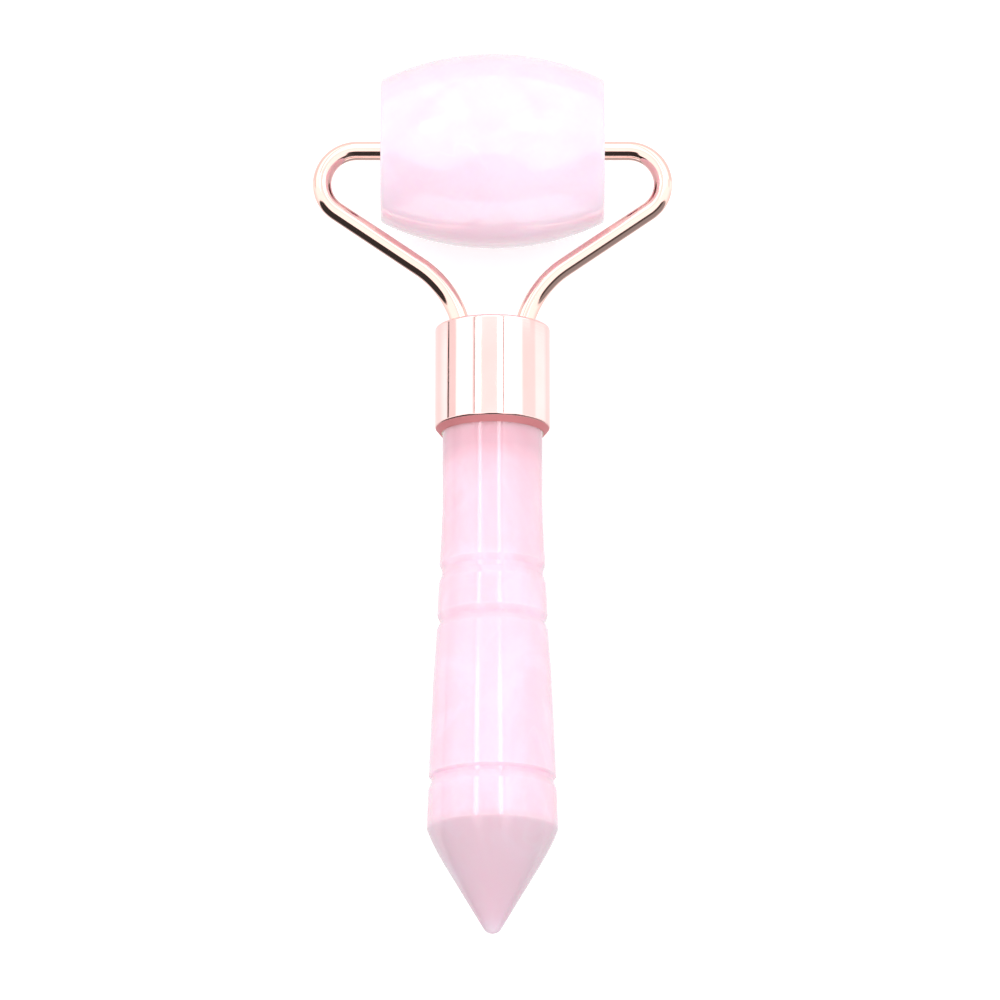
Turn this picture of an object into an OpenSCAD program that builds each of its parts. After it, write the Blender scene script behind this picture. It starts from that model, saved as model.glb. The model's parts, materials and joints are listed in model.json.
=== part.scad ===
// Mini face roller: a barrel-shaped stone roller turning in a sprung wire fork,
// with a turned metal collar and a turned, pointed stone handle.
// It lies at rest on a flat surface, on the roller's crown and the handle's shoulder.
// The roller's axis runs along X, the handle points to -Y and leans down towards its tip.

/* [Roller stone] */
// length of the roller stone, end face to end face
roller_length = 25; // [23.5:0.5:26]
// diameter of the roller stone at its middle
roller_diameter = 21.8; // [21:0.1:23]
// diameter of the roller stone's flat end faces
roller_end_diameter = 15.9; // [14:0.1:18]
// width of the polished edge round each end face
roller_edge = 0.5; // [0.2:0.1:0.8]
// diameter of the hole drilled through the roller stone
roller_bore = 4.2; // [3.8:0.1:5]

/* [Bushes] */
// length of the plastic bush pressed into each end of the roller stone
bush_length = 5.9; // [5.4:0.1:6.5]
// depth of each bush below the stone's end face
bush_recess = 0.3; // [0.2:0.1:0.6]
// radial running clearance between pin and bush
pin_clearance = 0.05; // [0.03:0.01:0.08]
// gap between the pin's tip and the bush's floor
pin_end_gap = 0.1; // [0.08:0.01:0.2]

/* [Fork] */
// diameter of the fork's wire
wire_diameter = 2.1; // [1.9:0.05:2.2]
// overall width of the fork, outside to outside
fork_width = 40.2; // [38.5:0.1:42]
// centre-line radius of each elbow beside the roller
elbow_radius = 3.85; // [3.4:0.05:4.3]
// slope of the arms' straight part, from the roller's axis
arm_slope = 34.6; // [33:0.1:36]
// centre-line radius of the bend above the collar
lower_bend_radius = 11.3; // [10.5:0.1:12]
// distance between the two legs inside the collar
leg_spacing = 6.46; // [6:0.02:7]

/* [Collar] */
// distance from the roller's axis to the collar's upper face
collar_start = 20.55; // [20:0.05:21.2]
// length of the collar
collar_length = 12.2; // [11.8:0.1:13]
// outer diameter of the collar
collar_diameter = 12.8; // [12.6:0.1:13.4]
// thickness of the collar's end wall
collar_end_wall = 2.2; // [2.2:0.1:2.6]
// height of the bevel at the collar's open end
collar_bevel = 0.75; // [0.5:0.05:0.9]

/* [Handle] */
// diameter of the handle's straight neck at the collar
neck_diameter = 11.1; // [10.9:0.1:11.3]
// diameter of the handle at its shoulder, its widest place
shoulder_diameter = 14.54; // [14.2:0.02:15]
// length of the handle from the collar to the tip
handle_length = 56.9; // [54:0.1:60]
// depth of the turned grooves
groove_depth = 0.3; // [0.2:0.05:0.45]
// radius of the handle's blunt tip
tip_radius = 1.15; // [0.9:0.05:1.4]

/* [Hidden] */
fine = 96;
wire_fine = 40;
glue_gap = 0.15;
roller_r = roller_diameter / 2;
roller_end_r = roller_end_diameter / 2;
half_length = roller_length / 2;
wire_r = wire_diameter / 2;

// the crown is one arc through the middle and both ends
crown_drop = roller_r - roller_end_r;
crown_r = (half_length * half_length + crown_drop * crown_drop) / (2 * crown_drop);

// the crown is drawn in an odd number of straight steps, so the roller rests on a flat middle band;
// the corners between the steps stand outside the true arc by crown_flat
crown_steps = 9;
crown_span = half_length - 0.4 * roller_edge;
crown_flat = crown_r - sqrt(crown_r * crown_r - pow(crown_span / crown_steps, 2));

// bushes
bush_out = half_length - bush_recess;
bush_in = bush_out - bush_length;
bush_floor = 0.8;
pin_tip = bush_in + bush_floor + pin_end_gap;

// the arm's centre line lies in one plane: u outwards, v towards the handle
arm_n = [sin(arm_slope), cos(arm_slope)];
elbow_u = fork_width / 2 - wire_r - elbow_radius;
elbow_v = elbow_radius;
leg_u = leg_spacing / 2;
bend_u = leg_u + lower_bend_radius;
bend_v = (arm_n[0] * (elbow_u - bend_u) + arm_n[1] * elbow_v + elbow_radius + lower_bend_radius) / arm_n[1];
slope_start = [elbow_u, elbow_v] + elbow_radius * arm_n;
slope_end = [bend_u, bend_v] - lower_bend_radius * arm_n;
slope_length = norm(slope_start - slope_end);
bend_thinning = 0.015;
elbow_lap = 2;
bend_lap = 1;

// collar and what it holds, as distances from the roller's axis
collar_r = collar_diameter / 2;
neck_r = neck_diameter / 2;
collar_bore_r = neck_r + glue_gap;
bore_start = collar_start + collar_end_wall;
block_length = 4;
block_end = bore_start + block_length;
handle_start = block_end + 0.25;
collar_end = collar_start + collar_length;
hole_clearance = 0.05;

// the legs still lean a little where they pass the collar's end wall
lean_in = asin((bend_v - collar_start) / lower_bend_radius);
hole_u_in = bend_u - lower_bend_radius * cos(lean_in);
hole_slant = atan((hole_u_in - leg_u) / collar_end_wall);

// handle profile: [distance from the collar's open end, radius]
shoulder_r = shoulder_diameter / 2;
shoulder_at = handle_length - 11.9;
neck_end_r = neck_r + 0.35;
bead_r = shoulder_r - 1.12;
body_r = shoulder_r - 0.22;
tip_centre = handle_length - tip_radius;
cone_angle = 35.3;

// the lean that puts the shoulder and the roller's crown on one surface
shoulder_s = collar_end + shoulder_at;
lean = asin(roller_r / norm([shoulder_s, shoulder_r])) - atan(shoulder_r / shoulder_s);
tip_reach = (collar_end + tip_centre) * cos(lean) + tip_radius;
axis_y = (tip_reach - roller_r) / 2;

// ---- placing ----

// lays the whole fork on its resting surface
module lay() {
    translate([0, axis_y, roller_r])
        rotate([lean, 0, 0])
            children();
}

// a turned shape about the roller's axis, its +Z going to +X
module across() {
    rotate([0, 90, 0])
        children();
}

// a turned shape about the handle's axis, its +Z going towards the tip
module down_handle() {
    rotate([90, 0, 0])
        children();
}

// ---- roller ----

function crown_at(x) = roller_r - crown_r + crown_flat + sqrt(crown_r * crown_r - x * x);
function crown_x(i) = crown_span * (2 * i / crown_steps - 1);

module roller_profile() {
    polygon(concat(
        [
            [roller_bore / 2, -half_length + 0.3],
            [roller_bore / 2 + 0.3, -half_length],
            [roller_end_r - roller_edge, -half_length]
        ],
        [for (i = [0 : crown_steps]) [crown_at(crown_x(i)), crown_x(i)]],
        [
            [roller_end_r - roller_edge, half_length],
            [roller_bore / 2 + 0.3, half_length],
            [roller_bore / 2, half_length - 0.3]
        ]
    ));
}

module roller_stone() {
    color([0.98, 0.90, 0.95])
        lay()
            across()
                rotate_extrude($fn = fine)
                    roller_profile();
}

// a blind plastic sleeve: the pin turns in it and its floor stops side play
module bush() {
    bore_r = wire_r + pin_clearance;
    across()
        rotate_extrude($fn = fine)
            polygon([
                [0, bush_in],
                [roller_bore / 2 - 0.2, bush_in],
                [roller_bore / 2, bush_in + 0.2],
                [roller_bore / 2, bush_out],
                [bore_r + 0.3, bush_out],
                [bore_r, bush_out - 0.3],
                [bore_r, bush_in + bush_floor],
                [0, bush_in + bush_floor]
            ]);
}

module bush_right() {
    color([0.95, 0.95, 0.93])
        lay()
            bush();
}

module bush_left() {
    color([0.95, 0.95, 0.93])
        lay()
            mirror([1, 0, 0])
                bush();
}

// ---- fork ----

module arm() {
    // pin, with a chamfered tip
    translate([pin_tip + 0.3, 0, 0])
        across()
            cylinder(h = elbow_u - pin_tip - 0.3, r = wire_r, $fn = wire_fine);
    translate([pin_tip, 0, 0])
        across()
            cylinder(h = 0.3, r1 = wire_r - 0.3, r2 = wire_r, $fn = wire_fine);
    // elbow beside the roller; each bend is drawn a hair thinner than the wire and laps into the
    // straight parts, so that no two surfaces coincide where they join
    translate([elbow_u, -elbow_v, 0])
        rotate([0, 0, arm_slope - 90 - elbow_lap])
            rotate_extrude(angle = 180 - arm_slope + 2 * elbow_lap, $fn = fine)
                translate([elbow_radius, 0])
                    circle(r = wire_r - bend_thinning, $fn = wire_fine);
    // straight part
    translate([slope_start[0], -slope_start[1], 0])
        rotate([0, 0, 180 + arm_slope])
            across()
                cylinder(h = slope_length, r = wire_r, $fn = wire_fine);
    // bend above the collar
    translate([bend_u, -bend_v, 0])
        rotate([0, 0, 90 + arm_slope - bend_lap])
            rotate_extrude(angle = 90 - arm_slope + 2 * bend_lap, $fn = 2 * fine)
                translate([lower_bend_radius, 0])
                    circle(r = wire_r - bend_thinning, $fn = wire_fine);
    // leg held in the block
    translate([leg_u, -bend_v, 0])
        down_handle()
            cylinder(h = block_end - bend_v, r = wire_r, $fn = wire_fine);
}

module fork_arm_right() {
    color([0.93, 0.66, 0.56])
        lay()
            arm();
}

module fork_arm_left() {
    color([0.93, 0.66, 0.56])
        lay()
            mirror([1, 0, 0])
                arm();
}

// brass block inside the collar: both legs are brazed into it
module fork_block() {
    color([0.80, 0.60, 0.40])
        lay()
            difference() {
                down_handle()
                    translate([0, 0, bore_start])
                        cylinder(h = block_length, r = collar_bore_r, $fn = fine);
                for (side = [-1, 1])
                    down_handle()
                        translate([side * leg_u, 0, bore_start - 1])
                            cylinder(h = block_length + 2, r = wire_r, $fn = wire_fine);
            }
}

// ---- collar ----

module collar() {
    edge = 0.25;
    color([0.96, 0.72, 0.62])
        lay()
            difference() {
                down_handle()
                    rotate_extrude($fn = fine)
                        polygon([
                            [0, collar_start],
                            [collar_r - edge, collar_start],
                            [collar_r, collar_start + edge],
                            [collar_r, collar_end - collar_bevel],
                            [collar_bore_r + 0.08, collar_end],
                            [collar_bore_r, collar_end],
                            [collar_bore_r, bore_start],
                            [0, bore_start]
                        ]);
                // slanted leg holes
                for (side = [-1, 1])
                    down_handle()
                        translate([side * (leg_u + hole_u_in) / 2, 0, collar_start + collar_end_wall / 2])
                            rotate([0, -side * hole_slant, 0])
                                cylinder(h = 3 * collar_end_wall, r = wire_r + hole_clearance,
                                         center = true, $fn = wire_fine);
            }
}

// the glue between handle, block and collar
module adhesive_fill() {
    color([0.92, 0.88, 0.78])
        lay()
            down_handle()
                rotate_extrude($fn = fine)
                    polygon([
                        [0, block_end],
                        [collar_bore_r, block_end],
                        [collar_bore_r, collar_end - 0.1],
                        [neck_r, collar_end - 0.1],
                        [neck_r, handle_start + 0.4],
                        [neck_r - 0.4, handle_start],
                        [0, handle_start]
                    ]);
}

// ---- handle ----

module handle_stone() {
    // points are [radius, distance from the roller's axis]
    e = collar_end;
    g = groove_depth;
    outline = concat(
        [
            [0, handle_start],
            [neck_r - 0.4, handle_start],
            [neck_r, handle_start + 0.4],
            [neck_r, e + 8.4],
            [neck_r + 0.05, e + 10.4],
            [neck_r + 0.15, e + 12.4],
            [neck_end_r - 0.05, e + 14.6],
            [neck_end_r - 0.05, e + 15.1],
            // first groove
            [neck_end_r - 0.15, e + 15.4],
            [neck_end_r - g, e + 15.9],
            [neck_end_r - g + 0.05, e + 16.3],
            [neck_end_r - 0.08, e + 16.8],
            // bead
            [neck_end_r + 0.05, e + 17.2],
            [bead_r - 0.03, e + 20.7],
            [bead_r - 0.12, e + 21.1],
            // second groove
            [bead_r - g - 0.02, e + 21.6],
            [bead_r - 0.08, e + 22.2],
            // long swelling body
            [bead_r + 0.06, e + 22.6],
            [bead_r + 0.40, e + 28],
            [body_r - 0.22, e + 34],
            [body_r, e + 38.6],
            [body_r - 0.10, e + 39.1],
            // third groove
            [body_r - g - 0.02, e + 39.7],
            [body_r - 0.02, e + 40.3],
            // shoulder
            [body_r + 0.06, e + 40.7],
            [shoulder_r - 0.02, e + shoulder_at - 0.6],
            [shoulder_r, e + shoulder_at],
            [shoulder_r - 0.12, e + shoulder_at + 0.45]
        ],
        // ogive point, then the blunt tip
        [for (i = [1 : 6]) [
            shoulder_r - 0.12 - 2.62 * (0.83 * i + 0.17 * i * i / 6) / 6,
            e + shoulder_at + 0.45 + 4.9 * i / 6
        ]],
        [for (i = [0 : 6]) [
            tip_radius * cos(cone_angle + (90 - cone_angle) * i / 6),
            e + tip_centre + tip_radius * sin(cone_angle + (90 - cone_angle) * i / 6)
        ]]
    );
    color([0.97, 0.86, 0.90])
        lay()
            down_handle()
                rotate_extrude($fn = fine)
                    polygon(outline);
}

roller_stone();
bush_left();
bush_right();
fork_arm_left();
fork_arm_right();
fork_block();
collar();
adhesive_fill();
handle_stone();
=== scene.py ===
"""Looks of the mini face roller: polished pale pink quartz and rose-gold metal on a white studio floor.

Lengths are in millimetres in the fork's own frame and become metres when a mesh is made.
The fork's frame has its origin where the roller's axis crosses the handle's axis: x is along the
roller's axis, y runs from the handle towards the roller, z is up from the fork's plane.
"""
import json
import math

import bmesh
import bpy
from mathutils import Matrix, Vector


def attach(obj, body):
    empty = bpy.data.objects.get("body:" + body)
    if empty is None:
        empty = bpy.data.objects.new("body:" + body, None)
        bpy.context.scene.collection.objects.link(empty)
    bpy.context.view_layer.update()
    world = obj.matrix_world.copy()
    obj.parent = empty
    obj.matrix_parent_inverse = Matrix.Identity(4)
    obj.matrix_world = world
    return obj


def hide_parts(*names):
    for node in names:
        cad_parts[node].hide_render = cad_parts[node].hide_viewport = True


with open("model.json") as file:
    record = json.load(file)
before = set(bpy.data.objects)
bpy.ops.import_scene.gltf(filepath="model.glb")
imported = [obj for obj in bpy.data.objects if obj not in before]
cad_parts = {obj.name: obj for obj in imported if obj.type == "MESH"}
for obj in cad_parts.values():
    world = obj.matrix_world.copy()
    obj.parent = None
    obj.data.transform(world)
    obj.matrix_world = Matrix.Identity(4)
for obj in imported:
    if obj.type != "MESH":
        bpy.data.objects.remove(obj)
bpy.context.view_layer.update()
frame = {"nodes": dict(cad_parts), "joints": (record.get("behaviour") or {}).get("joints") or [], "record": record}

MM = 0.001
SMALLEST = 1e-6

# ---- dimensions: the design's, but for the roller's edge, which is a little wider here ----

ROLLER_HALF = 12.5
ROLLER_R = 10.9
ROLLER_END_R = 7.95
ROLLER_EDGE = 0.55
BORE_R = 2.1
COUNTERSINK = 0.3

WIRE_R = 1.05
FORK_HALF = 20.1
ELBOW_R = 3.85
ARM_SLOPE = math.radians(34.6)
BEND_R = 11.3
LEG_U = 3.23
PIN_TIP = 7.2
PIN_DOME = 0.3
LEG_END = 26.75

COLLAR_START = 20.55
COLLAR_END = 32.75
COLLAR_R = 6.4
COLLAR_BORE_R = 5.7
COLLAR_WALL = 2.2
COLLAR_BEVEL = 0.75
HOLE_CLEARANCE = 0.05

NECK_R = 5.55
SHOULDER_R = 7.27
HANDLE_LENGTH = 56.9
HANDLE_START = 27.0
GROOVE_DEPTH = 0.3
POINT_LENGTH = 11.9
POINT_SLOPE = math.radians(35.3)
TIP_R = 1.15

# edges of the collar that turn by more degrees than this are shaded as sharp
COLLAR_SHARP = 28

# ---- the camera: its aim and sensor in millimetres, its distance and the width it sees in metres ----

CAMERA_ELEVATION = math.radians(72.85)
CAMERA_DISTANCE = 1.5
AIM_ALONG = 40.3
AIM_ASIDE = 0.83
FRAME_WIDTH = 0.1111
SENSOR_WIDTH = 36.0

# ---- where the fork lies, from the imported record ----

roller_joint = next(j for j in frame["joints"] if j["name"] == "roller_spin")
neck_mount = next(m for m in frame["record"]["mounts"] if m["name"] == "holder_neck")
axis_point = Vector(roller_joint["pos_m"])
handle_axis = Vector(neck_mount["axis"]).normalized()
lean = math.atan2(-handle_axis.z, -handle_axis.y)
FORK = Matrix.Translation(axis_point) @ Matrix.Rotation(lean, 4, "X")


# ---- mesh helpers ----

def rounded(corners, steps=7):
    """An outline of (a, b) points from (a, b, radius) corners, each turned into an arc of that radius."""
    outline = []
    for i, (a, b, radius) in enumerate(corners):
        here = Vector((a, b))
        if radius == 0 or i in (0, len(corners) - 1):
            outline.append(here)
            continue
        before = Vector(corners[i - 1][:2]) - here
        after = Vector(corners[i + 1][:2]) - here
        half = before.angle(after) / 2
        reach = min(radius / math.tan(half), 0.48 * before.length, 0.48 * after.length)
        r = reach * math.tan(half)
        centre = here + (before.normalized() + after.normalized()).normalized() * (r / math.sin(half))
        start = here + before.normalized() * reach - centre
        end = here + after.normalized() * reach - centre
        turn = math.atan2(start.x * end.y - start.y * end.x, start.dot(end))
        for k in range(steps + 1):
            outline.append(centre + Matrix.Rotation(turn * k / steps, 2) @ start)
    return outline


def finish_mesh(name, bm, material, smooth_angle=40):
    """Turns a bmesh in fork millimetres into a named object with smooth shading."""
    bmesh.ops.remove_doubles(bm, verts=bm.verts, dist=1e-5)
    bmesh.ops.recalc_face_normals(bm, faces=bm.faces)
    bmesh.ops.transform(bm, matrix=FORK @ Matrix.Scale(MM, 4), verts=bm.verts)
    mesh = bpy.data.meshes.new(name)
    bm.to_mesh(mesh)
    bm.free()
    mesh.polygons.foreach_set("use_smooth", [True] * len(mesh.polygons))
    mesh.set_sharp_from_angle(angle=math.radians(smooth_angle))
    mesh.materials.append(material)
    piece = bpy.data.objects.new(name, mesh)
    bpy.context.scene.collection.objects.link(piece)
    return piece


def turned(bm, outline, place, sides=160, closed=False):
    """Turns an outline of (along, radius) points about an axis, which place(along, radius, angle) knows."""
    rings = []
    for along, radius in outline:
        if radius < SMALLEST:
            rings.append([bm.verts.new(place(along, 0, 0))])
        else:
            rings.append([bm.verts.new(place(along, radius, 2 * math.pi * k / sides)) for k in range(sides)])
    pairs = list(zip(rings, rings[1:]))
    if closed:
        pairs.append((rings[-1], rings[0]))
    for one, two in pairs:
        for k in range(sides):
            n = (k + 1) % sides
            corners = [one[k % len(one)], one[n % len(one)], two[n % len(two)], two[k % len(two)]]
            corners = list(dict.fromkeys(corners))
            if len(corners) > 2:
                bm.faces.new(corners)


def about_roller(along, radius, angle):
    return (along, radius * math.sin(angle), radius * math.cos(angle))


def about_handle(along, radius, angle):
    return (radius * math.sin(angle), -along, radius * math.cos(angle))


# ---- node helpers ----

class Nodes:
    """A short way to build a node tree: make("Kind", {input: value or socket}, setting=value)."""

    def __init__(self, tree):
        self.tree = tree
        tree.nodes.clear()

    def make(self, kind, inputs=None, **settings):
        node = self.tree.nodes.new(kind)
        for key, value in settings.items():
            setattr(node, key, value)
        for key, value in (inputs or {}).items():
            if isinstance(value, bpy.types.NodeSocket):
                self.tree.links.new(value, node.inputs[key])
            else:
                node.inputs[key].default_value = value
        return node

    def math(self, operation, a, b=0.0, c=0.0):
        return self.make("ShaderNodeMath", {0: a, 1: b, 2: c}, operation=operation).outputs[0]

    def remap(self, value, low, high, to_low=0.0, to_high=1.0, smooth=False):
        """The value's range low...high carried to to_low...to_high, and held beyond it."""
        kind = "SMOOTHSTEP" if smooth else "LINEAR"
        inputs = {"Value": value, "From Min": low, "From Max": high, "To Min": to_low, "To Max": to_high}
        return self.make("ShaderNodeMapRange", inputs, interpolation_type=kind).outputs["Result"]

    def noise(self, where, scale, detail=3.0, roughness=0.5, distortion=0.0):
        inputs = {"Vector": where, "Scale": scale, "Detail": detail, "Roughness": roughness,
                  "Distortion": distortion}
        return self.make("ShaderNodeTexNoise", inputs).outputs["Fac"]

    def mix(self, factor, a, b, blend="MIX"):
        """Colours a and b mixed by factor."""
        inputs = {0: factor, 6: a, 7: b}
        return self.make("ShaderNodeMix", inputs, data_type="RGBA", blend_type=blend).outputs[2]

    def blend(self, factor, a, b):
        """Numbers a and b mixed by factor."""
        return self.make("ShaderNodeMix", {0: factor, 2: a, 3: b}, data_type="FLOAT").outputs[0]

    def ramp(self, value, stops):
        """A colour read from (position, colour) stops, straight between them."""
        node = self.make("ShaderNodeValToRGB", {"Fac": value})
        elements = node.color_ramp.elements
        while len(elements) < len(stops):
            elements.new(0.5)
        for element, (position, colour) in zip(elements, stops):
            element.position = position
            element.color = (*colour, 1.0)
        return node.outputs["Color"]

    def bump(self, height, distance):
        inputs = {"Height": height, "Distance": distance, "Strength": 1.0}
        return self.make("ShaderNodeBump", inputs).outputs["Normal"]


def new_material(name):
    """A material with a bare shader; returns it with its nodes, the shader and the object coordinates."""
    material = bpy.data.materials.new(name)
    material.use_nodes = True
    nodes = Nodes(material.node_tree)
    shader = nodes.make("ShaderNodeBsdfPrincipled")
    out = nodes.make("ShaderNodeOutputMaterial")
    material.node_tree.links.new(shader.outputs[0], out.inputs["Surface"])
    where = nodes.make("ShaderNodeTexCoord").outputs["Object"]
    return material, nodes, shader, where


def in_fork_frame(nodes, where):
    """The same place in the fork's frame, in metres: y falls from 0 at the roller's axis to the tip."""
    return nodes.make("ShaderNodeMapping", {"Vector": where, "Location": axis_point,
                                            "Rotation": (lean, 0.0, 0.0)}, vector_type="TEXTURE").outputs[0]


def along_handle(nodes, where):
    """Distance from the roller's axis towards the tip, in millimetres."""
    y = nodes.make("ShaderNodeSeparateXYZ", {0: in_fork_frame(nodes, where)}).outputs["Y"]
    return nodes.math("MULTIPLY", y, -1.0 / MM)


def wire_up(nodes, shader, **sockets):
    """Links sockets to the shader's inputs; an underscore in a name stands for a space."""
    for name, socket in sockets.items():
        nodes.tree.links.new(socket, shader.inputs[name.replace("_", " ")])


# ---- materials: colours, and in metres the depth of each relief ----

# the stone's pale, middle and deep pink; the roller's is the paler stone
ROLLER_PINKS = (0.98, 0.76, 0.88, 1.0), (0.975, 0.72, 0.83, 1.0), (0.97, 0.68, 0.80, 1.0)
HANDLE_PINKS = (0.98, 0.74, 0.86, 1.0), (0.975, 0.69, 0.80, 1.0), (0.97, 0.63, 0.74, 1.0)
# painted shade along the handle: darkest beside the collar, which shades the stone,
# and greyer on the point, which faces away from the light
HANDLE_PAINTED_SHADE = [(32.0, (0.80, 0.60, 0.62)), (35.0, (0.77, 0.66, 0.67)), (36.9, (0.90, 0.81, 0.82)),
                (39.5, (0.95, 0.87, 0.88)), (60.0, (1.0, 0.95, 0.96)), (72.0, (1.0, 0.92, 0.94)),
                (77.0, (0.95, 0.90, 0.91)), (78.2, (0.72, 0.76, 0.75)), (90.0, (0.71, 0.75, 0.74))]
CRACK_WHITE = (1.0, 0.97, 0.99, 1.0)
CRACK_STRENGTH = 0.08
QUARTZ_IOR = 1.54
QUARTZ_SMEARS = 0.08
QUARTZ_RELIEF = 0.000012

FORK_GOLD = (0.97, 0.66, 0.59)
COLLAR_GOLD = (0.96, 0.64, 0.62)
# the collar bevel's deep red is a painted dark reflection; its roughness and metal share are its finish
CUT_GOLD_PAINTED_REFLECTION = (0.74, 0.27, 0.29, 1.0)
CUT_ROUGHNESS = 0.6
CUT_METALLIC = 0.5
METAL_RELIEF = 0.000004
SMALL_RELIEF = 0.00001


def quartz(name, pinks, shine, coat, haze, painted_shade=None):
    """Polished, cloudy pink quartz: soft inner clouds, thin white healed cracks, a wet polish.

    The clouds run from the middle pink to the pale one, with patches of the deep one. Shine and coat set
    how strongly the stone mirrors, haze how blurred. Painted shade, if given, is (distance along the handle,
    colour multiplier) pairs that darken the stone where it gets less light.
    """
    pale, mid, deep = pinks
    material, nodes, shader, where = new_material(name)
    clouds = nodes.noise(where, scale=130, detail=4, roughness=0.55, distortion=0.9)
    blush = nodes.noise(where, scale=55, detail=2, roughness=0.5, distortion=0.6)
    colour = nodes.mix(nodes.remap(clouds, 0.38, 0.66, smooth=True), mid, pale)
    colour = nodes.mix(nodes.remap(blush, 0.52, 0.74, 0.0, 0.25, smooth=True), colour, deep)
    # healed cracks: thin sheets where a stretched, distorted noise crosses its middle value
    stretched = nodes.make("ShaderNodeMapping", {"Vector": where, "Rotation": (0.5, 0.3, 0.9),
                                                 "Scale": (1.0, 0.45, 1.3)}).outputs[0]
    sheet = nodes.noise(stretched, scale=75, detail=3, roughness=0.5, distortion=1.6)
    near = nodes.math("ABSOLUTE", nodes.math("SUBTRACT", sheet, 0.5))
    crack = nodes.remap(near, 0.0, 0.018, 1.0, 0.0, smooth=True)
    patch = nodes.remap(nodes.noise(where, scale=90, detail=2), 0.48, 0.66, smooth=True)
    veins = nodes.math("MULTIPLY", nodes.math("MULTIPLY", crack, patch), CRACK_STRENGTH)
    colour = nodes.mix(veins, colour, CRACK_WHITE)
    # painted shade: the stone is darkened along the handle where it gets less light, beside the collar and on the
    # point
    if painted_shade:
        first, last = painted_shade[0][0], painted_shade[-1][0]
        place = nodes.remap(along_handle(nodes, where), first, last)
        painted_shade_colour = nodes.ramp(place, [((at - first) / (last - first), shade) for at, shade in painted_shade])
        colour = nodes.mix(1.0, colour, painted_shade_colour, "MULTIPLY")
    smears = nodes.noise(where, scale=420, detail=3)
    rough = nodes.remap(smears, 0.3, 0.7, haze, haze + QUARTZ_SMEARS)
    # polishing leaves the surface faintly wavy, with still finer marks
    ripple = nodes.noise(where, scale=260, detail=2)
    fine = nodes.noise(where, scale=3200, detail=2)
    height = nodes.math("ADD", ripple, nodes.math("MULTIPLY", fine, 0.06))
    normal = nodes.bump(height, QUARTZ_RELIEF)
    wire_up(nodes, shader, Base_Color=colour, Roughness=rough, Normal=normal)
    shader.inputs["IOR"].default_value = QUARTZ_IOR
    shader.inputs["Specular IOR Level"].default_value = shine
    shader.inputs["Coat Weight"].default_value = coat
    shader.inputs["Coat IOR"].default_value = 1.5
    shader.inputs["Coat Roughness"].default_value = 0.08
    shader.inputs["Subsurface Weight"].default_value = 0.85
    shader.inputs["Subsurface Radius"].default_value = (1.0, 0.62, 0.78)
    shader.inputs["Subsurface Scale"].default_value = 0.004
    return material


def rose_gold(name, colour, turned_marks=False):
    """Polished rose-gold plate: faint polishing haze, hairline scratches, shallow dents.

    With turned marks it also has the collar's fine rings and its matt bevel, whose deep red is a painted dark
    reflection.
    """
    material, nodes, shader, where = new_material(name)
    deeper = tuple(c * k for c, k in zip(colour, (0.99, 0.96, 0.95)))
    tone = nodes.noise(where, scale=160, detail=3)
    base = nodes.mix(nodes.remap(tone, 0.35, 0.7, smooth=True), (*colour, 1.0), (*deeper, 1.0))
    haze = nodes.remap(nodes.noise(where, scale=350, detail=4, roughness=0.6), 0.35, 0.7, 0.045, 0.11)
    scratches = nodes.make("ShaderNodeMapping", {"Vector": where, "Rotation": (0.2, 0.5, 0.7),
                                                 "Scale": (1.0, 14.0, 1.0)}).outputs[0]
    hair = nodes.noise(scratches, scale=900, detail=2, roughness=0.7)
    height = nodes.math("MULTIPLY", hair, 0.25)
    if turned_marks:
        along = along_handle(nodes, where)
        rings = nodes.make("ShaderNodeTexNoise", {"W": along, "Scale": 6.0, "Detail": 2.0},
                           noise_dimensions="1D").outputs["Fac"]
        height = nodes.math("ADD", height, nodes.math("MULTIPLY", rings, 0.35))
        # the bevel is matt, and its deep red is a painted dark reflection of the dark front it faces
        bevel_start = COLLAR_END - COLLAR_BEVEL
        cut = nodes.remap(along, bevel_start + 0.06, bevel_start + 0.14)
        base = nodes.mix(cut, base, CUT_GOLD_PAINTED_REFLECTION)
        haze = nodes.blend(cut, haze, CUT_ROUGHNESS)
        wire_up(nodes, shader, Metallic=nodes.blend(cut, 1.0, CUT_METALLIC))
    dents = nodes.noise(where, scale=240, detail=2)
    height = nodes.math("ADD", height, nodes.math("MULTIPLY", dents, 2.0))
    normal = nodes.bump(height, METAL_RELIEF)
    wire_up(nodes, shader, Base_Color=base, Roughness=haze, Normal=normal)
    shader.inputs["Metallic"].default_value = 1.0
    return material


def moulded_nylon(name):
    """Off-white nylon of the bushes, with a slight mould texture."""
    material, nodes, shader, where = new_material(name)
    tone = nodes.noise(where, 500, 3)
    base = nodes.mix(tone, (0.88, 0.86, 0.82, 1.0), (0.95, 0.94, 0.91, 1.0))
    rough = nodes.remap(tone, 0.3, 0.7, 0.32, 0.48)
    normal = nodes.bump(nodes.noise(where, 2600, 2), SMALL_RELIEF)
    wire_up(nodes, shader, Base_Color=base, Roughness=rough, Normal=normal)
    shader.inputs["Subsurface Weight"].default_value = 0.3
    shader.inputs["Subsurface Scale"].default_value = 0.001
    return material


def turned_brass(name):
    """Plain turned brass of the block inside the collar."""
    material, nodes, shader, where = new_material(name)
    along = nodes.make("ShaderNodeSeparateXYZ", {0: where}).outputs["Y"]
    rings = nodes.make("ShaderNodeTexNoise", {"W": along, "Scale": 5000.0},
                       noise_dimensions="1D").outputs["Fac"]
    stain = nodes.noise(where, 300, 3)
    base = nodes.mix(stain, (0.62, 0.42, 0.16, 1.0), (0.74, 0.55, 0.27, 1.0))
    rough = nodes.remap(stain, 0.3, 0.7, 0.22, 0.36)
    wire_up(nodes, shader, Base_Color=base, Roughness=rough, Normal=nodes.bump(rings, SMALL_RELIEF))
    shader.inputs["Metallic"].default_value = 1.0
    return material


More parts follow.
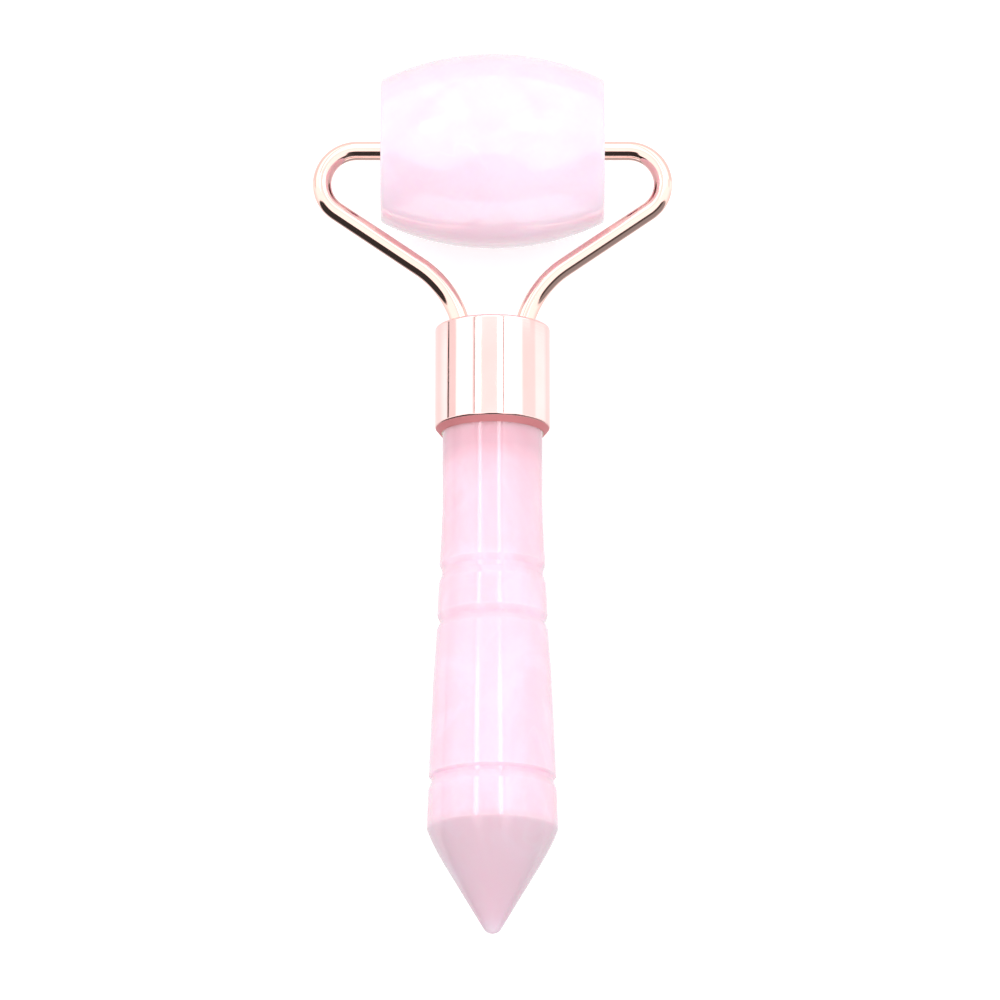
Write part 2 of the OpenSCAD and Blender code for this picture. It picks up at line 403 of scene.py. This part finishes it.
def cured_glue(name):
    """Yellowish cured adhesive with a few bubbles."""
    material, nodes, shader, where = new_material(name)
    bubbles = nodes.make("ShaderNodeTexVoronoi", {"Vector": where, "Scale": 1800.0}).outputs["Distance"]
    dots = nodes.remap(bubbles, 0.12, 0.22, smooth=True)
    base = nodes.mix(dots, (0.86, 0.80, 0.66, 1.0), (0.74, 0.64, 0.44, 1.0))
    wire_up(nodes, shader, Base_Color=base, Normal=nodes.bump(dots, SMALL_RELIEF))
    shader.inputs["Roughness"].default_value = 0.28
    shader.inputs["Subsurface Weight"].default_value = 0.4
    shader.inputs["Subsurface Scale"].default_value = 0.001
    return material


ROLLER_QUARTZ = quartz("roller_quartz", ROLLER_PINKS, shine=0.5, coat=0.75, haze=0.14)
HANDLE_QUARTZ = quartz("handle_quartz", HANDLE_PINKS, shine=0.45, coat=0.0, haze=0.06, painted_shade=HANDLE_PAINTED_SHADE)
FORK_METAL = rose_gold("fork_rose_gold", FORK_GOLD)
COLLAR_METAL = rose_gold("collar_rose_gold", COLLAR_GOLD, turned_marks=True)
NYLON = moulded_nylon("bush_nylon")
BRASS = turned_brass("block_brass")
GLUE = cured_glue("cured_glue")


# ---- the roller ----

def make_roller():
    """The crowned barrel: one arc from end to end, polished edges, a countersunk hole right through."""
    drop = ROLLER_R - ROLLER_END_R
    crown_r = (ROLLER_HALF ** 2 + drop ** 2) / (2 * drop)
    half_steps = 24
    crown = []
    for i in range(2 * half_steps + 1):
        x = (ROLLER_HALF - ROLLER_EDGE) * (1 - i / half_steps)
        crown.append((x, ROLLER_R - crown_r + math.sqrt(crown_r ** 2 - x ** 2), 0))
    right = [(ROLLER_HALF - COUNTERSINK, BORE_R, 0.1), (ROLLER_HALF, BORE_R + COUNTERSINK, 0.1),
             (ROLLER_HALF, ROLLER_END_R - 0.05, 0.6)]
    left = [(-x, r, fillet) for x, r, fillet in reversed(right)]
    corners = [(0, BORE_R, 0)] + right + crown + left + [(0, BORE_R, 0)]
    bm = bmesh.new()
    turned(bm, rounded(corners)[:-1], about_roller, closed=True)
    piece = finish_mesh("roller_barrel", bm, ROLLER_QUARTZ, 50)
    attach(piece, "roller")
    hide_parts("roller_stone")


# ---- the fork ----

def arm_path():
    """The wire's centre line from the pin's tip to the leg's end, as (point, direction) in its plane."""
    n = Vector((math.sin(ARM_SLOPE), -math.cos(ARM_SLOPE)))
    elbow = Vector((FORK_HALF - WIRE_R - ELBOW_R, -ELBOW_R))
    bend_x = LEG_U + BEND_R
    bend_v = (n.x * (elbow.x - bend_x) - n.y * ELBOW_R + ELBOW_R + BEND_R) / -n.y
    bend = Vector((bend_x, -bend_v))
    path = []

    def straight(start, end, steps):
        way = (end - start).normalized()
        path.extend((start.lerp(end, k / steps), way) for k in range(steps))

    def arc(centre, radius, start, end, steps, side):
        for k in range(steps):
            a = start + (end - start) * k / steps
            out = Vector((math.cos(a), math.sin(a)))
            path.append((centre + radius * out, side * Vector((-out.y, out.x))))

    slope_out = math.atan2(n.y, n.x)
    straight(Vector((PIN_TIP + PIN_DOME, 0)), Vector((elbow.x, 0)), 6)
    arc(elbow, ELBOW_R, math.pi / 2, slope_out, 44, -1)
    straight(elbow + ELBOW_R * n, bend - BEND_R * n, 8)
    arc(bend, BEND_R, slope_out + math.pi, math.pi, 28, 1)
    straight(Vector((LEG_U, -bend_v)), Vector((LEG_U, -LEG_END)), 4)
    path.append((Vector((LEG_U, -LEG_END)), Vector((0, -1))))
    return path


def make_arm(name, side, node):
    """One bent round wire with a domed pin tip; side is 1 for the right arm and -1 for the left."""
    sides = 40
    path = arm_path()
    tip, tip_way = path[0]
    sections = [(tip - tip_way * PIN_DOME * math.sin(a), tip_way, WIRE_R - PIN_DOME * (1 - math.cos(a)))
                for a in (math.pi / 2, math.pi / 3, math.pi / 6)]
    sections += [(point, way, WIRE_R) for point, way in path]
    bm = bmesh.new()
    rings = []
    for point, way, radius in sections:
        across = Vector((-way.y, way.x))
        ring = []
        for k in range(sides):
            a = 2 * math.pi * k / sides
            p = point + across * radius * math.cos(a)
            ring.append(bm.verts.new((side * p.x, p.y, radius * math.sin(a))))
        rings.append(ring)
    for one, two in zip(rings, rings[1:]):
        for k in range(sides):
            n = (k + 1) % sides
            bm.faces.new((one[k], one[n], two[n], two[k]))
    bm.faces.new(rings[0])
    bm.faces.new(rings[-1])
    piece = finish_mesh(name, bm, FORK_METAL)
    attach(piece, "fork")
    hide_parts(node)


# ---- the collar ----

def make_collar():
    """A turned cup with softened edges, a bevel at its open end and two slanted holes for the legs."""
    floor = COLLAR_START + COLLAR_WALL
    corners = [(COLLAR_START, 0, 0), (COLLAR_START, COLLAR_R, 0.35),
               (COLLAR_END - COLLAR_BEVEL, COLLAR_R, 0.3), (COLLAR_END, COLLAR_BORE_R + 0.08, 0.05),
               (COLLAR_END, COLLAR_BORE_R, 0), (floor, COLLAR_BORE_R, 0.2), (floor, 0, 0)]
    bm = bmesh.new()
    turned(bm, rounded(corners, 8), about_handle, sides=144)
    piece = finish_mesh("collar_shell", bm, COLLAR_METAL, COLLAR_SHARP)
    path = arm_path()
    for side in (-1, 1):
        crossing = [(p, w) for p, w in path if COLLAR_START - 0.4 < -p.y < floor + 0.4]
        middle, way = crossing[len(crossing) // 2]
        hole_r = WIRE_R + HOLE_CLEARANCE
        drill = bmesh.new()
        bmesh.ops.create_cone(drill, cap_ends=True, segments=48, radius1=hole_r * MM,
                              radius2=hole_r * MM, depth=9 * MM)
        mesh = bpy.data.meshes.new("drill")
        drill.to_mesh(mesh)
        drill.free()
        tool = bpy.data.objects.new("drill", mesh)
        bpy.context.scene.collection.objects.link(tool)
        aim = Vector((side * way.x, way.y, 0)).to_track_quat("Z", "Y").to_matrix().to_4x4()
        tool.matrix_world = FORK @ Matrix.Translation(Vector((side * middle.x, middle.y, 0)) * MM) @ aim
        cut = piece.modifiers.new("leg_hole", "BOOLEAN")
        cut.operation = "DIFFERENCE"
        cut.solver = "EXACT"
        cut.object = tool
        bpy.context.view_layer.update()
        shape = bpy.data.meshes.new_from_object(piece.evaluated_get(bpy.context.evaluated_depsgraph_get()))
        piece.modifiers.clear()
        piece.data = shape
        bpy.data.objects.remove(tool)
    piece.data.set_sharp_from_angle(angle=math.radians(COLLAR_SHARP))
    # kept out of reflections, or its end face would break up the roller's crescent
    piece.visible_glossy = False
    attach(piece, "fork")
    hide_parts("collar")


# ---- the handle ----

def make_handle():
    """The turned stone: straight neck, three soft grooves, a swelling body, a shoulder and a blunt point."""
    e = COLLAR_END
    body_r = SHOULDER_R - 0.22
    bead_r = SHOULDER_R - 1.12
    neck_end_r = NECK_R + 0.35
    shoulder_at = HANDLE_LENGTH - POINT_LENGTH
    depth = GROOVE_DEPTH
    corners = [
        (HANDLE_START, 0, 0), (HANDLE_START, NECK_R - 0.4, 0.1), (HANDLE_START + 0.4, NECK_R, 0.3),
        (e + 8.4, NECK_R, 30), (e + 12.4, NECK_R + 0.15, 20), (e + 15.0, neck_end_r - 0.03, 0.5),
        # first groove, then the bead
        (e + 15.75, neck_end_r - depth, 0.5), (e + 16.35, neck_end_r - depth + 0.02, 0.5),
        (e + 17.15, neck_end_r + 0.03, 0.6), (e + 20.8, bead_r - 0.02, 0.5),
        # second groove, then the long body
        (e + 21.5, bead_r - depth, 0.4), (e + 21.8, bead_r - depth, 0.4),
        (e + 22.5, bead_r + 0.02, 0.6), (e + 28, bead_r + 0.40, 40), (e + 34, body_r - 0.22, 40),
        (e + 39.1, body_r, 0.12),
        # third groove, cut steeply on this side, then the shoulder
        (e + 39.4, body_r - depth, 0.15), (e + 39.85, body_r - depth + 0.02, 0.4),
        (e + 40.7, body_r + 0.05, 0.6), (e + shoulder_at + 0.1, SHOULDER_R, 0.5),
    ]
    # the point swells a little, then runs straight to its blunt end
    swell_start, swell_start_r = e + shoulder_at + 0.45, SHOULDER_R - 0.12
    swell_length, swell_drop = 4.9, 2.62
    for i in range(1, 7):
        share = i / 6
        drop = swell_drop * (0.83 * share + 0.17 * share ** 2)
        corners.append((swell_start + swell_length * share, swell_start_r - drop, 12))
    tip_centre = HANDLE_LENGTH - TIP_R
    for i in range(13):
        a = POINT_SLOPE + (math.pi / 2 - POINT_SLOPE) * i / 12
        corners.append((e + tip_centre + TIP_R * math.sin(a), TIP_R * max(math.cos(a), 0), 0))
    bm = bmesh.new()
    turned(bm, rounded(corners, 8), about_handle)
    piece = finish_mesh("handle_turned", bm, HANDLE_QUARTZ, 60)
    # kept out of reflections, as the collar is
    piece.visible_glossy = False
    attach(piece, "fork")
    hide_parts("handle_stone")


def dress_cad_nodes():
    """The bushes, the block and the glue keep their CAD shapes and get their own materials.

    They are kept out of reflections too, because the collar, which hides them, is.
    """
    for name, material in (("bush_left", NYLON), ("bush_right", NYLON), ("fork_block", BRASS),
                           ("adhesive_fill", GLUE)):
        node = frame["nodes"][name]
        node.visible_glossy = False
        node.data.materials.clear()
        node.data.materials.append(material)


# ---- studio ----

FLOOR_R = 6.0
FLOOR_GLOW = 0.3
SEEN_WHITE = (0.97, 0.97, 0.97, 1.0)
TENT_WHITE = (1.0, 0.995, 0.99, 1.0)

# levels of light as (angle, level) pairs: the angle is in degrees about the handle's axis, 0 straight up,
# positive to the right
SOFTBOXES = [(-180, 1.00), (-135, 1.10), (-112, 1.45), (-103, 1.40), (-101.5, 0.02), (-98.5, 0.02),
             (-97, 1.05), (-80, 1.05), (-77, 1.70), (-40, 1.70), (-37.5, 0.60), (-35.5, 0.60), (-33, 1.80),
             (-31, 6.50), (-27, 6.50), (-23, 1.30), (10, 1.30), (12.5, 6.50), (16.5, 6.50), (20.5, 0.60),
             (22.5, 0.60), (25, 3.40), (31, 2.40), (36, 1.70), (60, 1.70), (64, 1.20), (93, 1.20),
             (98, 1.50), (125, 1.45), (140, 1.10), (180, 1.00)]
WINDOW = [(-180, 1.3), (-62, 1.8), (-42, 1.8), (-38, 0.9), (-32, 0.9), (-28, 1.9), (18, 1.9), (21, 1.0),
          (26, 1.0), (30, 1.8), (62, 1.8), (180, 1.3)]
WINDOW_SILL = 1.0

# levels of the front, which lies towards the tip
ROOM_LEFT = 0.04
ROOM_RIGHT = 0.09
ROOM_RIGHT_LOW = 0.33
UNDERFOOT = 1.1
TABLE = 1.4
UNDER_TABLE = 0.40
UNDER_TABLE_DOWN = 1.15

# height of the table's lower edge as a direction: in the middle, and its change with the square of aside
TABLE_EDGE_MIDDLE = -0.42
TABLE_EDGE_CURVE = -0.35


def make_floor():
    """The white table top. It glows a little, and neither shows in reflections nor throws light back."""
    material, nodes, shader, where = new_material("studio_floor")
    tone = nodes.noise(where, 2.0, 2)
    base = nodes.mix(tone, (0.93, 0.93, 0.935, 1.0), (0.96, 0.96, 0.96, 1.0))
    wire_up(nodes, shader, Base_Color=base)
    shader.inputs["Roughness"].default_value = 0.9
    shader.inputs["Specular IOR Level"].default_value = 0.1
    shader.inputs["Emission Color"].default_value = (1.0, 1.0, 1.0, 1.0)
    shader.inputs["Emission Strength"].default_value = FLOOR_GLOW
    bm = bmesh.new()
    bmesh.ops.create_circle(bm, cap_ends=True, segments=96, radius=FLOOR_R)
    mesh = bpy.data.meshes.new("floor")
    bm.to_mesh(mesh)
    bm.free()
    mesh.materials.append(material)
    floor = bpy.data.objects.new("floor", mesh)
    bpy.context.scene.collection.objects.link(floor)
    floor.visible_glossy = False
    floor.visible_diffuse = False


def levels_about_handle(nodes, turn, pairs):
    """The level read from (angle, level) pairs; turn is 0 at -180 degrees and 1 at 180."""
    brightest = max(level for _, level in pairs)
    stops = [((angle + 180) / 360, (level / brightest,) * 3) for angle, level in pairs]
    return nodes.math("MULTIPLY", nodes.ramp(turn, stops), brightest)


def back_of_tent(nodes, x, y, z):
    """Everything that doesn't lie towards the tip: the softboxes, the window and a plain part."""
    turn = nodes.remap(nodes.math("ARCTAN2", x, z), -math.pi, math.pi)
    softboxes = levels_about_handle(nodes, turn, SOFTBOXES)
    # behind the roller a broad window with two bars takes the softboxes' place, down to its sill
    window = levels_about_handle(nodes, turn, WINDOW)
    window = nodes.blend(nodes.remap(z, 0.10, 0.16, smooth=True), WINDOW_SILL, window)
    behind = nodes.remap(y, 0.31, 0.36, smooth=True)
    level = nodes.blend(behind, softboxes, window)
    # between the band that the collar mirrors and the dark room, the tent is plain and soft
    plain_part = nodes.remap(y, 0.11, 0.19, 1.0, 0.0, smooth=True)
    return nodes.blend(plain_part, level, nodes.remap(z, -0.9, 0.3, 0.95, 1.5, smooth=True))


def front_of_tent(nodes, aside, x, z):
    """Towards the tip: a dark room, darkest on the left, and in the middle of it the bright table."""
    right = nodes.remap(x, 0.05, 0.30, smooth=True)
    low = nodes.remap(z, 0.20, 0.34, 1.0, 0.0, smooth=True)
    room = nodes.blend(right, ROOM_LEFT, nodes.blend(low, ROOM_RIGHT, ROOM_RIGHT_LOW))
    room = nodes.blend(nodes.remap(z, -0.78, -0.70, smooth=True), UNDERFOOT, room)
    # the table's lower edge sinks to both sides; the roller mirrors it as the edge of its crescent
    aside_squared = nodes.math("MULTIPLY", aside, aside)
    edge = nodes.math("MULTIPLY_ADD", aside_squared, TABLE_EDGE_CURVE, TABLE_EDGE_MIDDLE)
    over = nodes.math("SUBTRACT", z, edge)
    under = nodes.remap(z, -1.00, -0.80, UNDER_TABLE_DOWN, UNDER_TABLE)
    table = nodes.blend(nodes.remap(over, -0.02, 0.02, smooth=True), under, TABLE)
    middle = nodes.math("MULTIPLY", nodes.remap(aside, 0.46, 0.54, 1.0, 0.0, smooth=True),
                        nodes.remap(z, 0.13, 0.18, 1.0, 0.0, smooth=True))
    return nodes.blend(middle, room, table)


def make_light_tent():
    """A white tent round the part, as the world.

    It looks different to three kinds of rays: mirror reflections see the boxes, the window, the room and
    the table; matt surfaces get a soft light from above; the camera sees a plain white.
    """
    world = bpy.data.worlds.new("light_tent")
    bpy.context.scene.world = world
    world.use_nodes = True
    # picking the world's bright spots out as lamps would skip the test for matt rays below
    world.cycles.sampling_method = "NONE"
    nodes = Nodes(world.node_tree)
    direction = nodes.make("ShaderNodeTexCoord").outputs["Generated"]
    axes = nodes.make("ShaderNodeSeparateXYZ", {0: direction}).outputs
    x, y, z = axes["X"], axes["Y"], axes["Z"]
    aside = nodes.math("ABSOLUTE", x)
    # the front reaches highest in the middle
    top = nodes.remap(aside, 0.12, 0.40, 0.93, 0.66, smooth=True)
    below_top = nodes.remap(nodes.math("SUBTRACT", z, top), -0.03, 0.03, 1.0, 0.0, smooth=True)
    front = nodes.math("MULTIPLY", nodes.remap(y, -0.26, -0.20, 1.0, 0.0, smooth=True), below_top)
    mirrored = nodes.blend(front, back_of_tent(nodes, x, y, z), front_of_tent(nodes, aside, x, z))
    soft = nodes.math("MULTIPLY_ADD", z, 0.56, 0.92)
    rays = nodes.make("ShaderNodeLightPath").outputs
    level = nodes.blend(rays["Is Diffuse Ray"], mirrored, soft)
    tent = nodes.make("ShaderNodeBackground", {"Color": TENT_WHITE, "Strength": level})
    plain = nodes.make("ShaderNodeBackground", {"Color": SEEN_WHITE, "Strength": 1.0})
    both = nodes.make("ShaderNodeMixShader", {0: rays["Is Camera Ray"], 1: tent.outputs[0],
                                              2: plain.outputs[0]})
    out = nodes.make("ShaderNodeOutputWorld")
    world.node_tree.links.new(both.outputs[0], out.inputs["Surface"])


def make_camera():
    """A long lens, from above and a little towards the tip."""
    towards = Vector((0, -math.cos(CAMERA_ELEVATION), math.sin(CAMERA_ELEVATION)))
    aim = axis_point + handle_axis * AIM_ALONG * MM + Vector((AIM_ASIDE * MM, 0, 0))
    data = bpy.data.cameras.new("camera")
    data.sensor_width = SENSOR_WIDTH
    data.lens = SENSOR_WIDTH * CAMERA_DISTANCE / FRAME_WIDTH
    data.clip_start = 0.05
    data.clip_end = 30.0
    camera = bpy.data.objects.new("camera", data)
    bpy.context.scene.collection.objects.link(camera)
    camera.location = aim + towards * CAMERA_DISTANCE
    camera.rotation_euler = (-towards).to_track_quat("-Z", "Y").to_euler()
    bpy.context.scene.camera = camera


make_camera()
make_floor()
make_light_tent()
make_roller()
make_arm("fork_wire_left", -1, "fork_arm_left")
make_arm("fork_wire_right", 1, "fork_arm_right")
make_collar()
make_handle()
dress_cad_nodes()
bpy.context.scene.view_settings.view_transform = "Standard"
